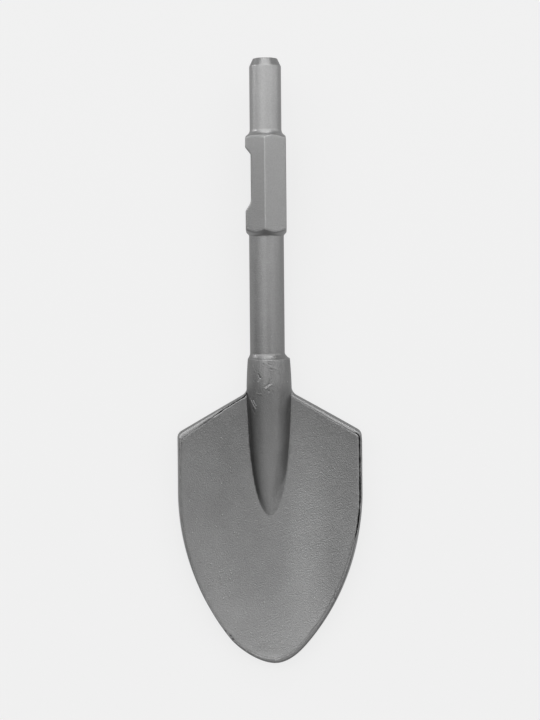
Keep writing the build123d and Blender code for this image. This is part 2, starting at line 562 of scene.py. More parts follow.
@dataclass
class Blade:
    """The dished plate: hollow face, plain back and the rim between them."""

    offset: float = 1.0
    neck_half_width: float = 16.95
    top: float = 242.5
    top_inset: float = 1.2
    shoulder: float = 250.5
    shoulder_angle: dict[Side, float] = field(default_factory=lambda: {Side.LEFT: 30.2, Side.RIGHT: 29.1})
    neck_fillet: float = 7.0
    half_width: float = 66.9
    corner_round: float = 6.0
    flank_start: float = 323.3
    upper_flank: tuple[float, float] = (177.0, 22.3)
    lower_flank: tuple[float, float] = (161.7, 16.4)
    tip_flank_handle: float = 11.3
    tip_handle: float = 11.1
    tip_skew: float = 2.9
    tip: float = 448.6
    dish: float = 312.0
    face_level: float = 0.8
    face_length_radius: float = 850.0
    face_rise: float = 9.0
    back_level: float = -6.8
    back_length_radius: float = 690.0
    back_rise: float = 8.5
    strip_crown: float = 0.28
    wander: float = 0.12
    wander_spacing: float = 5.0
    wander_seed: int = 11
    chatter: float = 0.16
    chatter_spacing: float = 1.6
    chatter_seed: int = 23
    strip_share: float = 0.7
    depth_share: float = 0.5
    parted_depth: float = 0.5
    wall_middle: float = 0.6
    lip_round: tuple[float, float] = (0.5, 0.16)
    slot_slant: tuple[float, float] = (0.1, 0.14)
    slot_least: tuple[float, float] = (0.18, 0.24)
    strip_foot: float = 0.1
    strip_round: tuple[float, float] = (0.12, 0.3)
    foot_round: tuple[float, float] = (0.15, 0.12)
    wall_foot: float = 0.45
    arc_step: float = 0.3
    arc_points: int = 160
    curve_points: int = 200
    rows: int = 300
    face_columns: int = 100
    back_columns: int = 24
    rim_runs: dict[Side, RimRun] = field(
        default_factory=lambda: {Side.LEFT: LEFT_RIM, Side.RIGHT: RIGHT_RIM}
    )

    def height(self, x: np.ndarray, s: np.ndarray, back: bool = False) -> np.ndarray:
        """Give the height of the face or the back.

        Args:
            x: Distance across from the blade's centre line.
            s: Station.
            back: True for the back.

        Returns:
            The height out of the face.
        """
        level = self.back_level if back else self.face_level
        length_radius = self.back_length_radius if back else self.face_length_radius
        rise = self.back_rise if back else self.face_rise
        side = rise * (x / self.half_width) ** 2
        return level + length_radius - np.sqrt((length_radius - side) ** 2 - (s - self.dish) ** 2)

    def outline(self, side: Side) -> np.ndarray:
        """Draw one side of the front edge in plan, from inside the neck to the tip.

        Args:
            side: Which side.

        Returns:
            Points of across and station, evenly spaced.
        """
        half, neck = self.half_width, self.neck_half_width
        lean = math.tan(math.radians(self.shoulder_angle[side]))
        corners = [
            (neck - self.top_inset, self.top),
            (neck, self.shoulder),
            (half, self.shoulder + (half - neck) * lean),
            (half, self.flank_start),
        ]
        path = rounded_path(corners, [self.neck_fillet, self.corner_round], self.arc_step)
        heading = 0.0
        for radius, sweep in (self.upper_flank, self.lower_flank):
            turn = math.radians(sweep)
            angles = heading + np.linspace(0, turn, self.arc_points)[1:]
            x = path[-1][0] - radius * (math.cos(heading) - np.cos(angles))
            s = path[-1][1] + radius * (np.sin(angles) - math.sin(heading))
            path = np.concatenate([path, np.stack([x, s], axis=1)])
            heading += turn
        start = path[-1]
        ahead = np.array([-math.sin(heading), math.cos(heading)])
        tip = np.array([self.tip_skew * side.value, self.tip])
        handles = [start, start + ahead * self.tip_flank_handle, tip + [self.tip_handle, 0], tip]
        t = np.linspace(0, 1, self.curve_points)[1:, None]
        weights = [(1 - t) ** 3, 3 * (1 - t) ** 2 * t, 3 * (1 - t) * t**2, t**3]
        curve = sum(weight * handle for weight, handle in zip(weights, handles))
        path = np.concatenate([path, curve])
        path[:, 0] *= side.value
        length = np.append(0, np.cumsum(np.hypot(*np.diff(path, axis=0).T)))
        even = np.linspace(0, length[-1], self.rows)
        return np.stack([np.interp(even, length, path[:, 0]), np.interp(even, length, path[:, 1])], axis=1)

    def rim(self, side: Side) -> tuple[np.ndarray, np.ndarray]:
        """Work out the rim's section at every loop of one side.

        Args:
            side: Which side.

        Returns:
            The rim's points from the face's edge to the back's edge, loop by
            loop, and how much painted shade darkens each.
        """
        line = self.outline(side)
        x, s = line[:, 0], line[:, 1]
        step = 0.05
        slope_x = (self.height(x + step, s) - self.height(x - step, s)) / (2 * step)
        slope_s = (self.height(x, s + step) - self.height(x, s - step)) / (2 * step)
        normal = np.stack([-slope_x, -slope_s, np.ones_like(x)], axis=1)
        normal /= np.linalg.norm(normal, axis=1, keepdims=True)
        along = np.gradient(line, axis=0)
        along = np.concatenate([along, (slope_x * along[:, 0] + slope_s * along[:, 1])[:, None]], axis=1)
        along /= np.linalg.norm(along, axis=1, keepdims=True)
        outward = np.cross(along, normal) * side.value
        edge = np.stack([x, s, self.height(x, s)], axis=1)
        thickness = (self.height(x, s) - self.height(x, s, back=True)) * normal[:, 2]
        profile, scale = self.rim_profile(line, thickness, side)
        points = edge[:, None] + profile[..., :1] * outward[:, None] - profile[..., 1:] * normal[:, None]
        return points, scale

    def rim_profile(
        self, line: np.ndarray, thickness: np.ndarray, side: Side
    ) -> tuple[np.ndarray, np.ndarray]:
        """Shape the rim: lip, slot, flash strip, drafted wall and back edge.

        Args:
            line: The outline's points.
            thickness: The plate's thickness at each.
            side: Which side.

        Returns:
            Loops by points by how far outward and how deep, and each point's
            share of painted shade, which darkens the slot.
        """
        run = self.rim_runs[side]
        s = line[:, 1]
        travel = np.append(0, np.cumsum(np.hypot(*np.diff(line, axis=0).T)))
        wander = self.wander * smooth_noise(travel, self.wander_spacing, self.wander_seed + side.value)
        chatter = self.chatter * smooth_noise(travel, self.chatter_spacing, self.chatter_seed + side.value)
        lip = run.at("lip", s) * (1 + wander) + chatter
        floor = run.at("slot_depth", s)
        inner = run.at("strip_inner", s) + self.strip_share * (wander + chatter)
        deeper = 1 + self.depth_share * wander
        inner_deep = run.at("strip_inner_depth", s) * deeper
        outer = run.at("strip_outer", s)
        outer_deep = run.at("strip_outer_depth", s) * deeper
        parted = np.clip((floor - inner_deep) / self.parted_depth, 0, 1)
        zero = np.zeros_like(s)
        low = thickness - self.wall_foot
        slant_top, slant_foot = self.slot_slant
        least_floor, least_strip = self.slot_least
        mouth = 0.35
        mostly, partly = 0.7, 0.3
        # Each point has its place outward, its depth and its share of painted shade.
        sections = [
            (-lip - self.lip_round[0], zero, 0.0),
            (-lip, zero + self.lip_round[1], 0.0),
            (-lip + slant_top, mouth * floor, mostly),
            (-lip + slant_foot, floor, 1.0),
            (np.maximum(inner - self.strip_foot, -lip + least_floor), floor, 1.0),
            (np.maximum(inner, -lip + least_strip), inner_deep, partly),
            ((inner + outer) / 2, inner_deep + self.strip_crown * (outer_deep - inner_deep), 0.0),
            (outer - self.strip_round[0], outer_deep, 0.0),
            (outer, outer_deep + self.strip_round[1], 0.0),
            (outer * self.wall_middle, outer_deep * 0.5 + low * 0.5, 0.0),
            (zero, low, 0.0),
            (zero - self.foot_round[0], thickness - self.foot_round[1], 0.0),
            (zero - self.lip_round[0], thickness, 0.0),
        ]
        profile = np.stack([np.stack([out, deep], axis=1) for out, deep, _ in sections], axis=1)
        scale = np.stack([parted * dark for _, _, dark in sections], axis=1)
        return profile, scale

    def loops(self) -> tuple[np.ndarray, np.ndarray]:
        """Work out every loop round the plate.

        Returns:
            Loops by points by across, station and height, in millimetres, and
            each point's share of painted shade.
        """
        left, left_slot_shade = self.rim(Side.LEFT)
        right, right_slot_shade = self.rim(Side.RIGHT)
        face = self.span(left[:, 0], right[:, 0], self.face_columns, back=False)
        back = self.span(right[:, -1], left[:, -1], self.back_columns, back=True)
        loops = np.concatenate([face, right, back, left[:, ::-1]], axis=1)
        loops[..., 0] += self.offset
        clear_face = np.zeros(face.shape[:2])
        clear_back = np.zeros(back.shape[:2])
        scale = np.concatenate([clear_face, right_slot_shade, clear_back, left_slot_shade[:, ::-1]], axis=1)
        return loops, scale

    def span(self, start: np.ndarray, end: np.ndarray, columns: int, back: bool) -> np.ndarray:
        """Fill a row of points between the rims, on the face or the back.

        Args:
            start: Where each row starts.
            end: Where each row ends.
            columns: How many points lie between them.
            back: True for the back.

        Returns:
            The points between, loop by loop.
        """
        share = np.linspace(0, 1, columns + 2)[None, 1:-1, None]
        points = start[:, None] * (1 - share) + end[:, None] * share
        points[..., 2] = self.height(points[..., 0], points[..., 1], back)
        return points

    def build(self, frame: ToolFrame) -> bpy.types.Object:
        """Build the closed plate as a mesh object."""
        return tube_object("blade_form", self.loops()[0], frame)


@dataclass(frozen=True)
class Gouge:
    """One straight mark that the forging left, cut in or raised."""

    start: tuple[float, float]
    end: tuple[float, float]
    width: float
    depth: float

    def offset(self, points: np.ndarray) -> np.ndarray:
        """Give how far the mark lifts points that lie on the upper side.

        Args:
            points: Rows of across, station and height.

        Returns:
            The lift, negative where the mark is cut in.
        """
        start, end = np.array(self.start), np.array(self.end)
        run = end - start
        share = np.clip(((points[:, :2] - start) @ run) / (run @ run), 0, 1)
        away = np.linalg.norm(points[:, :2] - start - share[:, None] * run, axis=1)
        return -self.depth * np.exp(-((away / self.width) ** 2))


MARK_SHARE = 0.75
NECK_MARKS = (
    Gouge((-2.6, 225.6), (0.2, 227.2), 0.5, -0.12),
    Gouge((1.6, 227.2), (3.2, 227.6), 0.5, 0.14),
    Gouge((2.6, 230.6), (3.5, 231.2), 0.5, 0.14),
    Gouge((2.7, 232.6), (3.3, 237.8), 0.5, 0.12),
    Gouge((3.3, 237.8), (0.6, 243.6), 0.5, 0.12),
    Gouge((3.6, 229.2), (9.6, 232.0), 0.5, -0.1),
    Gouge((-5.9, 234.8), (-5.2, 237.2), 0.6, 0.3),
    Gouge((-5.2, 237.2), (-6.0, 239.0), 0.6, 0.3),
    Gouge((-1.1, 245.4), (3.8, 242.0), 0.4, -0.22),
    Gouge((-0.9, 243.4), (2.0, 241.4), 0.4, 0.25),
    Gouge((1.2, 246.4), (1.8, 247.2), 0.5, 0.25),
    Gouge((4.2, 247.0), (4.6, 248.0), 0.5, 0.2),
    Gouge((-12.7, 253.2), (-9.0, 260.5), 0.4, -0.28),
    Gouge((-11.5, 253.6), (-8.2, 259.5), 0.4, 0.3),
    Gouge((-10.6, 254.5), (-8.2, 258.4), 0.35, -0.28),
    Gouge((-10.1, 253.4), (-8.4, 257.2), 0.35, 0.28),
    Gouge((-10.9, 260.3), (-9.0, 263.6), 0.4, 0.28),
    Gouge((-10.4, 229.0), (-9.0, 231.6), 0.5, -0.1),
    Gouge((-9.2, 232.4), (-8.4, 233.0), 0.5, -0.14),
    Gouge((-7.4, 249.0), (-3.6, 249.6), 0.6, -0.12),
)
EDGE_PITS = (
    Gouge((-28.7, 428.7), (-28.6, 428.8), 0.55, 0.9),
    Gouge((-26.8, 431.4), (-26.7, 431.5), 0.55, 0.9),
    Gouge((-32.6, 425.2), (-32.5, 425.3), 0.5, 0.6),
    Gouge((48.4, 400.2), (49.0, 401.8), 0.6, 0.4),
)


@dataclass(frozen=True)
class Patch:
    """A soft-edged oval place on the blade, for a tone or a texture."""

    centre: tuple[float, float]
    reach: tuple[float, float]
    amount: float

    def weight(self, points: np.ndarray) -> np.ndarray:
        """Give the amount at every point, fading with distance from the centre."""
        away = (points[:, :2] - np.array(self.centre)) / np.array(self.reach)
        return self.amount * np.exp(-(away**2).sum(axis=1))


# Painted sheen and shade on the blade's upper side: lighter and darker ovals in the base colour, where
# highlights and shade fall on the hollow face.
PAINTED_SHEEN_PATCHES = (
    Patch((26.0, 355.0), (14.0, 70.0), 0.13),
    Patch((-38.0, 400.0), (20.0, 45.0), 0.1),
    Patch((48.0, 370.0), (9.0, 50.0), -0.08),
    Patch((-6.0, 446.0), (17.0, 3.5), 0.5),
    Patch((0.0, 300.0), (7.0, 60.0), 0.12),
    Patch((0.0, 375.0), (14.0, 30.0), -0.07),
    Patch((36.0, 320.0), (16.0, 40.0), 0.04),
)
RIPPLE_PATCHES = (
    Patch((30.0, 345.0), (20.0, 60.0), 0.7),
    Patch((-36.0, 390.0), (15.0, 16.0), 0.8),
    Patch((0.0, 431.0), (24.0, 12.0), 0.7),
)
FLECK_PATCHES = (
    Patch((-23.5, 346.0), (8.0, 18.0), 0.35),
    Patch((-49.0, 353.0), (7.0, 12.0), 0.35),
    Patch((-36.0, 390.0), (12.0, 12.0), 0.8),
    Patch((0.0, 431.0), (20.0, 8.0), 1.0),
    Patch((38.0, 412.0), (6.0, 8.0), 0.8),
    Patch((46.0, 308.0), (8.0, 8.0), 0.2),
    Patch((51.0, 363.0), (5.0, 8.0), 0.4),
)


@dataclass
class Tool:
    """The one forged piece, from its plain forms to its finished surface."""

    shank: Shank = field(default_factory=Shank)
    blade: Blade = field(default_factory=Blade)
    fillet: float = 2.4
    fillet_at_point: float = 1.6
    fillet_passes: int = 6
    fillet_step: float = 0.6
    fillet_least_edge: float = 0.05
    fillet_least_count: float = 0.001
    point_station: float = 342.0
    rib_shape_run: tuple[float, float] = (243.0, 260.0)
    rib_flatness: float = 2.6
    rib_side: dict[Side, float] = field(default_factory=lambda: {Side.LEFT: 0.56, Side.RIGHT: 0.8})
    rib_fade: dict[Side, float] = field(default_factory=lambda: {Side.LEFT: 326.0, Side.RIGHT: 312.0})
    rib_fade_length: float = 16.0
    rib_lean: float = 0.78
    rib_lean_run: tuple[float, float] = (292.0, 330.0)
    rib_lean_from: float = -0.2
    marked_run: tuple[float, float] = (225.4, 264.5)
    marked_half_width: float = 13.5
    marked_low: float = 4.0
    marked_cuts: int = 2
    # Tone along the station: partly the steel's own tone, such as the lighter worn pilot, and partly
    # painted light: painted shade on the nose chamfer that tempers its highlight, and a painted lighter
    # blade towards the tip.
    tone_and_light_by_station: tuple[tuple[float, float], ...] = (
        (0.0, 1.02),
        (5.0, 1.02),
        (6.5, 1.24),
        (52.0, 1.22),
        (62.0, 1.13),
        (124.0, 1.1),
        (134.0, 1.04),
        (215.0, 0.97),
        (226.0, 0.81),
        (250.0, 0.88),
        (300.0, 0.98),
        (380.0, 1.0),
        (449.0, 1.08),
    )
    # Painted shade along the rib's flanks, where the rib meets the face: deeper on the left.
    flank_painted_shade: dict[Side, float] = field(default_factory=lambda: {Side.LEFT: 0.45, Side.RIGHT: 0.22})
    flank_inner: tuple[float, float] = (0.55, 0.85)
    flank_start: float = 241.0
    flank_grow: float = 7.0
    flank_fade: tuple[float, float] = (322.0, 338.0)
    flank_edge: tuple[float, float] = (1.0, 1.06)
    least_ripple: float = 0.25
    least_flecks: float = 0.01
    wear_curvature: tuple[float, float] = (0.25, 1.1)
    cavity_curvature: tuple[float, float] = (0.08, 0.7)
    # How far from the rim's points the slot's painted shade reaches.
    slot_shade_reach: float = 0.5
    on_face_margin: float = 0.01
    near_face_margin: float = 2.0
    upper_margin: float = 1.0
    pit_floor: float = -3.0
    mark_fade: float = 3.0

    def build(self, frame: ToolFrame) -> bpy.types.Object:
        """Fuse the forms, ease the rib's foot and strike the marks.

        Args:
            frame: Where the tool lies.

        Returns:
            The mesh object, still without its fine relief.
        """
        tool = self.shank.build(frame)
        self.refine_neck(tool, frame)
        plate = self.blade.build(frame)
        log.info("forms: shank %d faces, blade %d faces", len(tool.data.polygons), len(plate.data.polygons))
        self.fuse(tool, plate)
        points = frame.to_tool(mesh_points(tool.data))
        points = self.shape_rib(points)
        points = self.ease_rib_foot(tool.data, points)
        points = self.strike_marks(points, frame, tool.data)
        self.move(tool.data, points, frame)
        self.store_masks(tool.data, points)
        return tool

    def in_marks(self, points: np.ndarray) -> np.ndarray:
        """Tell which points lie on the neck's marked front.

        Args:
            points: Rows of across, station and height.

        Returns:
            True or false for each.
        """
        start, end = self.marked_run
        inside = (points[:, 1] > start) & (points[:, 1] < end)
        return inside & (np.abs(points[:, 0]) < self.marked_half_width) & (points[:, 2] > self.marked_low)

    def refine_neck(self, tool: bpy.types.Object, frame: ToolFrame) -> None:
        """Split the faces on the neck's front, fine enough for its marks.

        Args:
            tool: The shank's form, which is changed.
            frame: Where the tool lies.
        """
        work = bmesh.new()
        work.from_mesh(tool.data)
        chosen = []
        for edge in work.edges:
            ends = frame.to_tool(np.array([corner.co for corner in edge.verts], float))
            if self.in_marks(ends).all():
                chosen.append(edge)
        bmesh.ops.subdivide_edges(work, edges=chosen, cuts=self.marked_cuts, use_grid_fill=True)
        work.to_mesh(tool.data)
        work.free()
        points = frame.to_tool(mesh_points(tool.data))
        inside = self.in_marks(points)
        x, s, z = points[inside].T
        drop, stretch = self.shank.rib_drop(s), self.shank.rib_stretch(s)
        across, lift = x - self.blade.offset, (z + drop) / stretch
        grow = self.shank.bar_radius(s) / np.hypot(across, lift)
        across, lift = across * grow, lift * grow
        points[inside] = np.stack([self.blade.offset + across, s, lift * stretch - drop], axis=1)
        self.move(tool.data, points, frame)

    @staticmethod
    def move(mesh: bpy.types.Mesh, points: np.ndarray, frame: ToolFrame) -> None:
        """Move a mesh's points to new places in the tool's coordinates."""
        mesh.vertices.foreach_set("co", frame.to_row(points).ravel())
        mesh.update()

    def fuse(self, keep: bpy.types.Object, other: bpy.types.Object) -> None:
        """Fuse two closed forms into one closed mesh.

        Args:
            keep: The object that becomes both.
            other: The object that is used up.
        """
        union = keep.modifiers.new("union", "BOOLEAN")
        union.operation = "UNION"
        union.object = other
        union.solver = "EXACT"
        graph = bpy.context.evaluated_depsgraph_get()
        mesh = bpy.data.meshes.new_from_object(keep.evaluated_get(graph))
        keep.modifiers.clear()
        keep.data = mesh
        bpy.data.objects.remove(other)
        clean_mesh(keep)

    def rib_top(self, s: np.ndarray) -> np.ndarray:
        """Give how high the rib stands over the face at its middle."""
        top = self.shank.bar_radius(s) * self.shank.rib_stretch(s) - self.shank.rib_drop(s)
        return np.maximum(top - self.blade.height(0 * s, s), 0)

    def rib_half_width(self, s: np.ndarray) -> np.ndarray:
        """Give how far the rib's foot lies from its middle.

        Args:
            s: Stations.

        Returns:
            The distance at each.
        """
        half = 0 * s
        rounds, least = 4, 0.01
        for _ in range(rounds):
            sunk = (self.shank.rib_drop(s) + self.blade.height(half, s)) / self.shank.rib_stretch(s)
            half = np.sqrt(np.maximum(self.shank.bar_radius(s) ** 2 - sunk**2, least))
        return half

    def shape_rib(self, points: np.ndarray) -> np.ndarray:
        """Flatten the rib's back and steepen its sides.

        Args:
            points: Rows of across, station and height.

        Returns:
            The moved points.
        """
        x, s, z = points.T
        x = x - self.blade.offset
        share = np.abs(x) / self.rib_half_width(s)
        start, end = self.rib_shape_run
        on_face = z > self.blade.height(x, s) - self.on_face_margin
        upper = (s > start) & (s < self.point_station) & (share < 1) & on_face
        left = x < 0
        fade_start = np.where(left, self.rib_fade[Side.LEFT], self.rib_fade[Side.RIGHT])
        power = np.where(left, self.rib_side[Side.LEFT], self.rib_side[Side.RIGHT])
        power = power + np.clip((s - fade_start) / self.rib_fade_length, 0, 1)
        bulge = (1 - np.minimum(share, 1) ** self.rib_flatness) ** power
        aside = eased((x / self.rib_half_width(s) - self.rib_lean_from) / (1 - self.rib_lean_from))
        bulge *= 1 - self.rib_lean * aside * np.interp(s, self.rib_lean_run, (0.0, 1.0))
        shaped = self.blade.height(x, s) + self.rib_top(s) * bulge
        weight = eased((s - start) / (end - start)) * upper
        moved = points.copy()
        moved[:, 2] = z + weight * (shaped - z)
        return moved

    def ease_rib_foot(self, mesh: bpy.types.Mesh, points: np.ndarray) -> np.ndarray:
        """Round the crease along the rib's foot.

        Args:
            mesh: The mesh, for its edges.
            points: Rows of across, station and height.

        Returns:
            The moved points.
        """
        x, s, z = points.T
        foot = np.abs(np.abs(x - self.blade.offset) - self.rib_half_width(s))
        reach = np.interp(s, (self.shank.neck_end, self.point_station), (self.fillet, self.fillet_at_point))
        weight = np.clip(2 - 2 * foot / reach, 0, 1) * (s > self.shank.neck_end)
        weight *= (s < self.point_station + reach) * (z > self.blade.height(x, s) - self.near_face_margin)
        pairs = np.empty(len(mesh.edges) * 2, np.int32)
        mesh.edges.foreach_get("vertices", pairs)
        pairs = pairs.reshape(-1, 2)
        pairs = pairs[(weight[pairs] > 0).any(axis=1)]
        moved = points.copy()
        for _ in range(self.fillet_passes):
            total = np.zeros_like(moved)
            count = np.zeros(len(moved))
            for first, second in (pairs.T, pairs[:, ::-1].T):
                length = np.linalg.norm(moved[second] - moved[first], axis=1) + self.fillet_least_edge
                np.add.at(total, first, moved[second] / length[:, None])
                np.add.at(count, first, 1 / length)
            mean = total / np.maximum(count, self.fillet_least_count)[:, None]
            moved += (self.fillet_step * weight * (count > 0))[:, None] * (mean - moved)
        return moved

    def strike_marks(self, points: np.ndarray, frame: ToolFrame, mesh: bpy.types.Mesh) -> np.ndarray:
        """Cut and raise the named marks on the upper side.

        Args:
            points: Rows of across, station and height.
            frame: Where the tool lies.
            mesh: The mesh that the points belong to.

        Returns:
            The moved points.
        """
        normals = mesh_normals(mesh) @ frame.basis.T
        upper = np.clip(normals[:, 2] * self.mark_fade, 0, 1)
        lift = MARK_SHARE * sum(mark.offset(points) for mark in NECK_MARKS)
        lift = lift + sum(mark.offset(points) for mark in EDGE_PITS)
        return points + (lift * upper)[:, None] * normals

    def painted_flank_shade(self, points: np.ndarray) -> np.ndarray:
        """Give how much painted shade darkens the rib's flanks, where they meet the face.

        Args:
            points: Rows of across, station and height.

        Returns:
            The share of light that is lost.
        """
        x, s = points[:, 0] - self.blade.offset, points[:, 1]
        share = np.abs(x) / self.rib_half_width(s)
        inner, outer = self.flank_inner
        edge, clear = self.flank_edge
        band = np.clip((share - inner) / (outer - inner), 0, 1)
        band *= np.clip((clear - share) / (clear - edge), 0, 1)
        band *= np.clip((s - self.flank_start) / self.flank_grow, 0, 1)
        band *= np.interp(s, self.flank_fade, (1.0, 0.0))
        return band * np.where(x < 0, self.flank_painted_shade[Side.LEFT], self.flank_painted_shade[Side.RIGHT])

    def store_masks(self, mesh: bpy.types.Mesh, points: np.ndarray) -> None:
        """Store where the surface is worn, forged or machined, where painted shade darkens its hollows, the
        rim's slot and the pits, and its tone with painted light and shade.

        Args:
            mesh: The mesh.
            points: Its points in the tool's coordinates.
        """
        curvature = mesh_curvature(mesh) * MM
        # The wear mask lightens convex edges; the cavity mask puts painted shade in concave creases.
        bends = (("wear", curvature, self.wear_curvature), ("crease_shade", -curvature, self.cavity_curvature))
        for name, bend, (low, high) in bends:
            store_mask(mesh, name, np.clip((bend - low) / (high - low), 0, 1))
        # The mask named scale holds painted shade in the rim's slot.
        loops, scale = self.blade.loops()
        tree = KDTree(scale.size)
        for index, place in enumerate(loops.reshape(-1, 3)):
            tree.insert(place, index)
        tree.balance()
        flat = scale.ravel()
        dark = np.zeros(len(points))
        for index in np.nonzero(points[:, 1] > self.shank.neck_end)[0]:
            _, nearest, away = tree.find(points[index])
            if away < self.slot_shade_reach:
                dark[index] = flat[nearest]
        # Painted shade darkens the edge pits as well.
        for pit in EDGE_PITS:
            dark = np.maximum(dark, np.clip(-pit.offset(points) * (points[:, 2] > self.pit_floor), 0, 1))
        store_mask(mesh, "scale", dark)
        forged_from, forged_to = self.shank.collar, self.shank.neck_end
        store_mask(mesh, "forged", np.interp(points[:, 1], [forged_from, forged_to], [0.0, 1.0]))
        # The tone mask holds the steel's tone together with painted light and shade: the station tone, the
        # painted sheen patches and the painted shade on the rib's flanks.
        tone = np.interp(points[:, 1], *zip(*self.tone_and_light_by_station))
        upper = points[:, 2] > self.blade.height(points[:, 0], points[:, 1]) - self.upper_margin
        # Painted sheen and shade patches lighten and darken the upper side.
        tone += upper * sum(patch.weight(points) for patch in PAINTED_SHEEN_PATCHES)
        # Painted shade darkens the rib's flanks.
        tone *= 1 - upper * self.painted_flank_shade(points)
        store_mask(mesh, "tone", tone)
        ripples = self.least_ripple + sum(patch.weight(points) for patch in RIPPLE_PATCHES)
        store_mask(mesh, "rippled", ripples)
        flecks = self.least_flecks + sum(patch.weight(points) for patch in FLECK_PATCHES)
        store_mask(mesh, "flecked", upper * flecks)


def mesh_points(mesh: bpy.types.Mesh) -> np.ndarray:
    """Read a mesh's points.

    Args:
        mesh: The mesh.

    Returns:
        Rows of x, y and z.
    """
    points = np.empty(len(mesh.vertices) * 3)
    mesh.vertices.foreach_get("co", points)
    return points.reshape(-1, 3)


def mesh_normals(mesh: bpy.types.Mesh) -> np.ndarray:
    """Read the normals at a mesh's points.

    Args:
        mesh: The mesh.

    Returns:
        Rows of x, y and z.
    """
    normals = np.empty(len(mesh.vertices) * 3, np.float32)
    mesh.vertices.foreach_get("normal", normals)
    return normals.reshape(-1, 3).astype(float)


def mesh_curvature(mesh: bpy.types.Mesh) -> np.ndarray:
    """Measure how convex a mesh is at its points.

    Args:
        mesh: The mesh.

    Returns:
        The mean bend towards the neighbours, positive on edges that stand out.
    """
    points, normals = mesh_points(mesh), mesh_normals(mesh)
    pairs = np.empty(len(mesh.edges) * 2, np.int32)
    mesh.edges.foreach_get("vertices", pairs)
    total = np.zeros(len(points))
    count = np.zeros(len(points))
    for first, second in (pairs.reshape(-1, 2).T, pairs.reshape(-1, 2)[:, ::-1].T):
        run = points[second] - points[first]
        length_square = np.maximum((run**2).sum(axis=1), LEAST_SQUARE)
        bend = -2 * (run * normals[first]).sum(axis=1) / length_square
        np.add.at(total, first, bend)
        np.add.at(count, first, 1)
    return total / np.maximum(count, 1)


def store_mask(mesh: bpy.types.Mesh, name: str, values: np.ndarray) -> None:
    """Store one value for each point of a mesh, as a named attribute."""
    layer = mesh.attributes.new(name, "FLOAT", "POINT")
    layer.data.foreach_set("value", np.ascontiguousarray(values, np.float32))


class NodeMaker:
    """Adds and joins nodes in one node tree."""

    def __init__(self, tree: bpy.types.NodeTree) -> None:
        """Keep the tree to work in."""
        self.tree = tree

    def add(self, kind: str, **settings: object) -> bpy.types.Node:
        """Add one node.

        Args:
            kind: The node's type.
            settings: Its properties.

        Returns:
            The node.
        """
        node = self.tree.nodes.new(kind)
        for name, value in settings.items():
            setattr(node, name, value)
        return node

    def fill(self, socket: bpy.types.NodeSocket, value: object) -> None:
        """Link a socket to another node's output, or set its own value.

        Args:
            socket: The input.
            value: The output or the value.
        """
        if isinstance(value, bpy.types.NodeSocket):
            self.tree.links.new(value, socket)
        else:
            socket.default_value = value

    def wire(self, kind: str, inputs: dict[str, object], **settings: object) -> bpy.types.Node:
        """Add one node and fill its inputs.

        Args:
            kind: The node's type.
            inputs: A value or an output for each named input.
            settings: The node's properties.

        Returns:
            The node.
        """
        node = self.add(kind, **settings)
        for name, value in inputs.items():
            self.fill(node.inputs[name], value)
        return node

    def math(self, operation: str, first: object, second: object = 0.0) -> bpy.types.NodeSocket:
        """Work out one sum.

        Args:
            operation: The kind of sum.
            first: Its first value or output.
            second: Its second one.

        Returns:
            The output.
        """
        node = self.add("ShaderNodeMath", operation=operation)
        self.fill(node.inputs[0], first)
        self.fill(node.inputs[1], second)
        return node.outputs[0]

    def scale(self, operation: str, first: object, second: object) -> bpy.types.NodeSocket:
        """Work out one sum of vectors.

        Args:
            operation: The kind of sum.
            first: The vector.
            second: The other vector, or SCALE's number.

        Returns:
            The output.
        """
        node = self.add("ShaderNodeVectorMath", operation=operation)
        self.fill(node.inputs[0], first)
        self.fill(node.inputs["Scale" if operation == "SCALE" else 1], second)
        return node.outputs[0]

    def spread(self, value: object, source: tuple[float, float], target: tuple) -> bpy.types.NodeSocket:
        """Carry a value from one range into another."""
        ends = {"From Min": source[0], "From Max": source[1], "To Min": target[0], "To Max": target[1]}
        return self.wire("ShaderNodeMapRange", {"Value": value, **ends}).outputs["Result"]

    def attribute(self, name: str) -> bpy.types.NodeSocket:
        """Read a named attribute in a geometry tree."""
        node = self.wire("GeometryNodeInputNamedAttribute", {"Name": name}, data_type="FLOAT")
        return node.outputs["Attribute"]

    def mask(self, name: str) -> bpy.types.NodeSocket:
        """Read one of the mesh's masks in a material."""
        return self.add("ShaderNodeAttribute", attribute_name=name).outputs["Fac"]

    def noise(self, place: bpy.types.NodeSocket, size: object, detail: float) -> bpy.types.NodeSocket:
        """Add a noise.

        Args:
            place: The coordinates.
            size: How wide its spots are, in metres.
            detail: How many finer layers it has.

        Returns:
            The output, from 0 to 1.
        """
        scale = self.math("DIVIDE", 1.0, size) if isinstance(size, bpy.types.NodeSocket) else 1 / size
        inputs = {"Vector": place, "Scale": scale, "Detail": detail}
        return self.wire("ShaderNodeTexNoise", inputs).outputs["Fac"]

    def glow(self, strength: float) -> bpy.types.NodeSocket:
        """Add a plain white emission."""
        return self.wire("ShaderNodeEmission", {"Strength": strength}).outputs["Emission"]

    def mix(self, share: object, first: object, second: object) -> bpy.types.NodeSocket:
        """Mix two shaders.

        Args:
            share: The second one's share.
            first: The first shader.
            second: The second shader.

        Returns:
            The output.
        """
        node = self.wire("ShaderNodeMixShader", {"Fac": share})
        self.fill(node.inputs[1], first)
        self.fill(node.inputs[2], second)
        return node.outputs["Shader"]


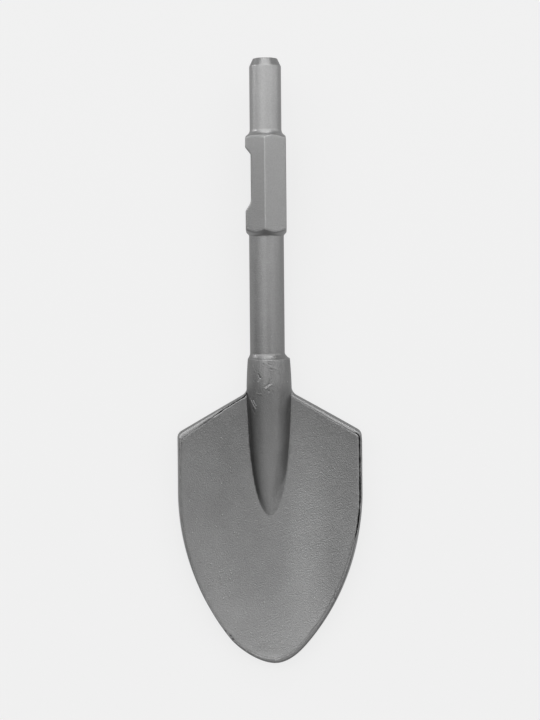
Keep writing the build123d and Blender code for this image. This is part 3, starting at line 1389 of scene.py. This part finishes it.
@dataclass(frozen=True)
class BlastedSteel:
    """Mid-grey forged steel, blasted to an even satin; sizes in metres."""

    colour: float = 0.35
    roughness: float = 0.37
    worn_gain: float = 1.35
    # Painted shade: the cavity gain darkens creases, the scale gain the rim's slot and pits.
    crease_shade_gain: float = 0.7
    slot_shade_gain: float = 0.1
    cloud_size: float = 0.022
    cloud_depth: float = 0.03
    blotch_size: float = 0.0012
    blotch_depth: float = 0.06
    speck_size: float = 0.0045
    speck_reach: float = 0.1
    speck_gain: float = 1.3
    grain_size: float = 0.0008
    grain_height: float = 0.00017
    ripple_size: float = 0.0012
    ripple_height: float = 0.0001
    ripple_turn: float = 25.0
    ripple_stretch: float = 2.0
    slot_roughness_gain: float = 1.8
    roughness_swing: float = 0.05

    def masked(self, maker: NodeMaker, value: object, name: str, gain: float) -> bpy.types.NodeSocket:
        """Multiply a value by a gain, as far as one of the mesh's masks is full."""
        return maker.math("MULTIPLY", value, maker.spread(maker.mask(name), (0.0, 1.0), (1.0, gain)))

    def ripples(self, maker: NodeMaker, place: bpy.types.NodeSocket) -> bpy.types.NodeSocket:
        """Give the height of the slanting ripples where the steel has flowed.

        Args:
            maker: The node maker.
            place: The object coordinates.

        Returns:
            The output.
        """
        inputs = {
            "Vector": place,
            "Rotation": (0, 0, math.radians(self.ripple_turn)),
            "Scale": (self.ripple_stretch, 1, 1),
        }
        turned = maker.wire("ShaderNodeMapping", inputs, vector_type="TEXTURE")
        waves = maker.noise(turned.outputs["Vector"], self.ripple_size, 1.0)
        return maker.math("MULTIPLY", waves, maker.mask("rippled"))

    def build(self) -> bpy.types.Material:
        """Build the node material.

        Returns:
            The material.
        """
        material = bpy.data.materials.new("blasted_steel")
        material.use_nodes = True
        maker = NodeMaker(material.node_tree)
        shader = material.node_tree.nodes["Principled BSDF"]
        shader.inputs["Metallic"].default_value = 1.0
        place = maker.add("ShaderNodeTexCoord").outputs["Object"]
        value = maker.math("MULTIPLY", maker.mask("tone"), self.colour)
        for size, depth in ((self.cloud_size, self.cloud_depth), (self.blotch_size, self.blotch_depth)):
            cloud = maker.noise(place, size, 3.0)
            value = maker.math("MULTIPLY", value, maker.spread(cloud, NOISE_SPAN, (1 - depth, 1 + depth)))
        specks = maker.wire("ShaderNodeTexVoronoi", {"Vector": place, "Scale": 1 / self.speck_size})
        speck = maker.spread(specks.outputs["Distance"], (0.0, self.speck_reach), (self.speck_gain, 1.0))
        value = maker.math("MULTIPLY", value, speck)
        # The cavity and scale masks darken the base colour with painted shade, in creases and in the rim's
        # slot and pits; wear lightens edges.
        gains = {"wear": self.worn_gain, "crease_shade": self.crease_shade_gain, "scale": self.slot_shade_gain}
        for name, gain in gains.items():
            value = self.masked(maker, value, name, gain)
        maker.fill(shader.inputs["Base Color"], value)
        swing = (1 - self.roughness_swing, 1 + self.roughness_swing)
        rough = maker.spread(maker.noise(place, self.cloud_size, 2.0), NOISE_SPAN, swing)
        rough = maker.math("MULTIPLY", rough, self.roughness)
        maker.fill(shader.inputs["Roughness"], self.masked(maker, rough, "scale", self.slot_roughness_gain))
        waves = self.ripples(maker, place)
        ripple = maker.wire("ShaderNodeBump", {"Distance": self.ripple_height, "Height": waves})
        inputs = {
            "Distance": self.grain_height,
            "Height": maker.noise(place, self.grain_size, 2.0),
            "Normal": ripple.outputs["Normal"],
        }
        maker.fill(shader.inputs["Normal"], maker.wire("ShaderNodeBump", inputs).outputs["Normal"])
        return material


@dataclass(frozen=True)
class ForgedRelief:
    """Geometry nodes for the forging's ripples and stray flecks; sizes in metres."""

    ripple_height: float = 0.00006
    ripple_size: float = 0.012
    ripple_squeeze: tuple[float, float, float] = (1.0, 0.6, 1.0)
    fleck_density: float = 150000.0
    fleck_radius: float = 0.0005
    fleck_shape: tuple[float, float, float] = (1.5, 0.6, 0.35)
    fleck_sizes: tuple[float, float] = (0.4, 1.3)
    fleck_tone: float = 1.3
    seed: int = 7

    def tree(self) -> bpy.types.NodeTree:
        """Build the node tree, with its sizes as named inputs.

        Returns:
            The tree.
        """
        tree = bpy.data.node_groups.new("forged_relief", "GeometryNodeTree")
        tree.interface.new_socket("Geometry", in_out="INPUT", socket_type="NodeSocketGeometry")
        for name in ("Ripple height", "Ripple size", "Fleck density", "Fleck radius", "Fleck tone"):
            tree.interface.new_socket(name, in_out="INPUT", socket_type="NodeSocketFloat")
        tree.interface.new_socket("Seed", in_out="INPUT", socket_type="NodeSocketInt")
        tree.interface.new_socket("Material", in_out="INPUT", socket_type="NodeSocketMaterial")
        tree.interface.new_socket("Geometry", in_out="OUTPUT", socket_type="NodeSocketGeometry")
        maker = NodeMaker(tree)
        given = maker.add("NodeGroupInput").outputs
        mask = maker.attribute("forged")

        place = maker.add("GeometryNodeInputPosition").outputs["Position"]
        squeezed = maker.scale("MULTIPLY", place, self.ripple_squeeze)
        swing = maker.math("SUBTRACT", maker.noise(squeezed, given["Ripple size"], 2.0), 0.5)
        lift = maker.math("MULTIPLY", maker.math("MULTIPLY", swing, mask), given["Ripple height"])
        normal = maker.add("GeometryNodeInputNormal").outputs["Normal"]
        inputs = {"Geometry": given["Geometry"], "Offset": maker.scale("SCALE", normal, lift)}
        rippled = maker.wire("GeometryNodeSetPosition", inputs).outputs["Geometry"]

        crowd = maker.math("MULTIPLY", maker.attribute("flecked"), given["Fleck density"])
        inputs = {"Mesh": rippled, "Density": maker.math("MULTIPLY", crowd, mask), "Seed": given["Seed"]}
        spots = maker.wire("GeometryNodeDistributePointsOnFaces", inputs)
        inputs = {"Radius": given["Fleck radius"], "Subdivisions": 1}
        fleck = maker.wire("GeometryNodeMeshIcoSphere", inputs).outputs["Mesh"]
        inputs = {"Geometry": fleck, "Name": "tone", "Value": given["Fleck tone"]}
        kind = "GeometryNodeStoreNamedAttribute"
        toned = maker.wire(kind, inputs, data_type="FLOAT", domain="POINT").outputs["Geometry"]
        size = maker.wire("FunctionNodeRandomValue", {"Seed": given["Seed"]}, data_type="FLOAT")
        size.inputs[2].default_value, size.inputs[3].default_value = self.fleck_sizes
        inputs = {
            "Points": spots.outputs["Points"],
            "Instance": toned,
            "Rotation": spots.outputs["Rotation"],
            "Scale": maker.scale("MULTIPLY", size.outputs[1], self.fleck_shape),
        }
        placed = maker.wire("GeometryNodeInstanceOnPoints", inputs).outputs["Instances"]

        whole = maker.add("GeometryNodeJoinGeometry")
        for part in (placed, rippled):
            tree.links.new(part, whole.inputs["Geometry"])
        real = maker.wire("GeometryNodeRealizeInstances", {"Geometry": whole.outputs["Geometry"]})
        inputs = {"Geometry": real.outputs["Geometry"], "Material": given["Material"]}
        painted = maker.wire("GeometryNodeSetMaterial", inputs)
        maker.wire("NodeGroupOutput", {"Geometry": painted.outputs["Geometry"]})
        return tree

    def apply(self, thing: bpy.types.Object, material: bpy.types.Material) -> None:
        """Run the nodes on a mesh object and keep the result as its mesh.

        Args:
            thing: The object, which is changed.
            material: The material that the whole piece takes.
        """
        thing.data.materials.append(material)
        modifier = thing.modifiers.new("relief", "NODES")
        modifier.node_group = self.tree()
        values = {
            "Ripple height": self.ripple_height,
            "Ripple size": self.ripple_size,
            "Fleck density": self.fleck_density,
            "Fleck radius": self.fleck_radius,
            "Fleck tone": self.fleck_tone,
            "Seed": self.seed,
            "Material": material,
        }
        for item in modifier.node_group.interface.items_tree:
            if item.in_out == "INPUT" and item.name in values:
                modifier[item.identifier] = values[item.name]
        graph = bpy.context.evaluated_depsgraph_get()
        mesh = bpy.data.meshes.new_from_object(thing.evaluated_get(graph))
        while mesh.materials[-1] is None:
            mesh.materials.pop()
        thing.modifiers.clear()
        thing.data = mesh


@dataclass(frozen=True)
class Panel:
    """One soft rectangular light, with its even brightness as metal shows it."""

    name: str
    centre: Vector
    across: Vector
    upward: Vector
    width: float
    height: float
    radiance: float

    @classmethod
    def overhead(cls, name: str, across: tuple, along: tuple, radiance: float) -> Panel:
        """Describe a level light, high over the tool, that shines down.

        Args:
            name: The light's name.
            across: Where it starts and ends, in degrees from overhead to the right.
            along: The same towards the tool's striking end.
            radiance: Its brightness.

        Returns:
            The light.
        """
        x_start, x_end = [OVERHEAD_LEVEL * math.tan(math.radians(angle)) for angle in across]
        y_start, y_end = [OVERHEAD_LEVEL * math.tan(math.radians(angle)) for angle in along]
        centre = Vector(((x_start + x_end) / 2, (y_start + y_end) / 2, OVERHEAD_LEVEL))
        size = (x_end - x_start, y_end - y_start)
        return cls(name, centre, Vector((1, 0, 0)), Vector((0, 1, 0)), size[0], size[1], radiance)

    @classmethod
    def wall(cls, name: str, side: Side, span_y: tuple, span_z: tuple, radiance: float) -> Panel:
        """Describe an upright light to one side, which faces the tool.

        Args:
            name: The light's name.
            side: Which side it stands on.
            span_y: Where it starts and ends in Y, in metres.
            span_z: Where it starts and ends in Z, in metres.
            radiance: Its brightness.

        Returns:
            The light.
        """
        centre = Vector((side.value * WALL_AWAY, (span_y[0] + span_y[1]) / 2, (span_z[0] + span_z[1]) / 2))
        width, height = span_y[1] - span_y[0], span_z[1] - span_z[0]
        return cls(name, centre, Vector((0, side.value, 0)), Vector((0, 0, 1)), width, height, radiance)

    def hang(self) -> None:
        """Put the light into the scene."""
        data = bpy.data.lights.new(self.name, "AREA")
        data.shape = "RECTANGLE"
        data.size = self.width
        data.size_y = self.height
        data.energy = math.pi * self.width * self.height * self.radiance
        lamp = bpy.data.objects.new(self.name, data)
        basis = Matrix((self.across, self.upward, self.across.cross(self.upward))).transposed().to_4x4()
        basis.translation = self.centre
        lamp.matrix_world = basis
        bpy.context.scene.collection.objects.link(lamp)


PANELS = (
    Panel.overhead("ceiling", (-65, 65), (0, 45), 1.11),
    Panel.overhead("far_ceiling", (-65, 65), (30, 54), 1.17),
    Panel.overhead("far_strip", (-50, 50), (64, 74), 5.0),
    Panel.overhead("middle_strip", (4, 12), (0, 8), 2.3),
    Panel.overhead("left_strip", (-25, -12), (-6, 0), 1.83),
    Panel.overhead("left_patch", (-25, -4), (-11, -6), 1.34),
    Panel.overhead("right_patch", (25, 65), (-22, -11), 0.875),
    Panel.overhead("near_ceiling", (-12, 45), (-45, -30), 0.625),
    Panel.overhead("near_left", (-25, 12), (-45, -30), 0.3),
    Panel.wall("left_wall", Side.LEFT, (2.25, 6.0), (0.19, 1.88), 7.16),
    Panel.wall("right_wall", Side.RIGHT, (2.25, 6.0), (0.19, 1.88), 2.95),
    Panel.wall("right_wall_middle", Side.RIGHT, (-1.12, 2.25), (0.19, 1.88), 0.96),
    Panel.wall("right_wall_high", Side.RIGHT, (-1.12, 2.25), (1.88, 4.12), 0.53),
)


@dataclass
class Studio:
    """The pale floor, the soft lights and the camera."""

    distance: float = 1.0
    pixel: float = 0.748
    image_height: int = 720
    level_row: float = 250.0
    level_station: float = 143.0
    side_step: float = 2.56
    side_turn: float = 2.5
    roll: float = 0.49
    sensor: float = 36.0
    clip: tuple[float, float] = (0.05, 50.0)
    floor_half: float = 12.0
    floor_seen: float = 0.962
    floor_colour: float = 0.6
    floor_even: float = 0.8
    floor_in_metal: float = 0.523
    room: float = 0.18

    def add_camera(self, frame: ToolFrame) -> None:
        """Put the camera where the photograph was taken from.

        Args:
            frame: Where the tool lies.
        """
        turn, roll = math.radians(self.side_turn), math.radians(self.roll)
        right = frame.across * math.cos(turn) - frame.up * math.sin(turn)
        back = frame.across * math.sin(turn) + frame.up * math.cos(turn)
        image_right = right * math.cos(roll) - frame.axis * math.sin(roll)
        image_up = frame.axis * math.cos(roll) + right * math.sin(roll)
        aim = frame.origin - frame.axis * self.level_station * MM + right * self.side_step * MM
        data = bpy.data.cameras.new("camera")
        data.sensor_width = self.sensor
        data.lens = self.sensor * self.distance / (self.image_height * self.pixel * MM)
        data.shift_y = (self.level_row - self.image_height / 2) / self.image_height
        data.clip_start, data.clip_end = self.clip
        camera = bpy.data.objects.new("camera", data)
        basis = Matrix((image_right, image_up, back)).transposed().to_4x4()
        basis.translation = aim + back * self.distance
        camera.matrix_world = basis
        bpy.context.scene.collection.objects.link(camera)
        bpy.context.scene.camera = camera

    def floor_material(self) -> bpy.types.Material:
        """Build the floor's paper: even and pale to the camera, with a soft shadow.

        Returns:
            The material.
        """
        material = bpy.data.materials.new("pale_paper")
        material.use_nodes = True
        maker = NodeMaker(material.node_tree)
        nodes = material.node_tree.nodes
        nodes.remove(nodes["Principled BSDF"])
        rays = maker.add("ShaderNodeLightPath").outputs
        paper = maker.add("ShaderNodeBsdfDiffuse")
        paper.inputs["Color"].default_value = (self.floor_colour,) * 3 + (1,)
        share = maker.math("MULTIPLY", rays["Is Camera Ray"], self.floor_even)
        seen = maker.mix(share, paper.outputs["BSDF"], maker.glow(self.floor_seen))
        shown = maker.math("MAXIMUM", rays["Is Glossy Ray"], rays["Is Transmission Ray"])
        both = maker.mix(shown, seen, maker.glow(self.floor_in_metal))
        maker.fill(nodes["Material Output"].inputs["Surface"], both)
        return material

    def add_floor(self) -> None:
        """Lay the pale floor, which shows the tool's soft shadow."""
        half = self.floor_half
        mesh = bpy.data.meshes.new("floor")
        corners = [(-half, -half, 0), (half, -half, 0), (half, half, 0), (-half, half, 0)]
        mesh.from_pydata(corners, [], [(0, 1, 2, 3)])
        floor = bpy.data.objects.new("floor", mesh)
        bpy.context.scene.collection.objects.link(floor)
        mesh.materials.append(self.floor_material())

    def add_world(self) -> None:
        """Set the even light of the room."""
        world = bpy.data.worlds.new("room")
        world.use_nodes = True
        world.node_tree.nodes["Background"].inputs["Color"].default_value = (1, 1, 1, 1)
        world.node_tree.nodes["Background"].inputs["Strength"].default_value = self.room
        bpy.context.scene.world = world

    def build(self, frame: ToolFrame) -> None:
        """Build the whole studio.

        Args:
            frame: Where the tool lies.
        """
        bpy.context.scene.view_settings.view_transform = "Standard"
        self.add_camera(frame)
        self.add_floor()
        self.add_world()
        for panel in PANELS:
            panel.hang()


def main() -> None:
    """Build the tool and the studio."""
    logging.basicConfig(level=logging.INFO, format="%(message)s")
    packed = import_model()
    frame = ToolFrame.from_record(packed["record"])
    tool = Tool().build(frame)
    tool.name = "forged_chisel"
    ForgedRelief().apply(tool, BlastedSteel().build())
    tool.data.shade_smooth()
    tool.data.set_sharp_from_angle(angle=math.radians(SHARP_ANGLE))
    log.info("tool: %d faces", len(tool.data.polygons))
    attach(tool, "root")
    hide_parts(NODE)
    Studio().build(frame)


if __name__ == "__main__":
    main()
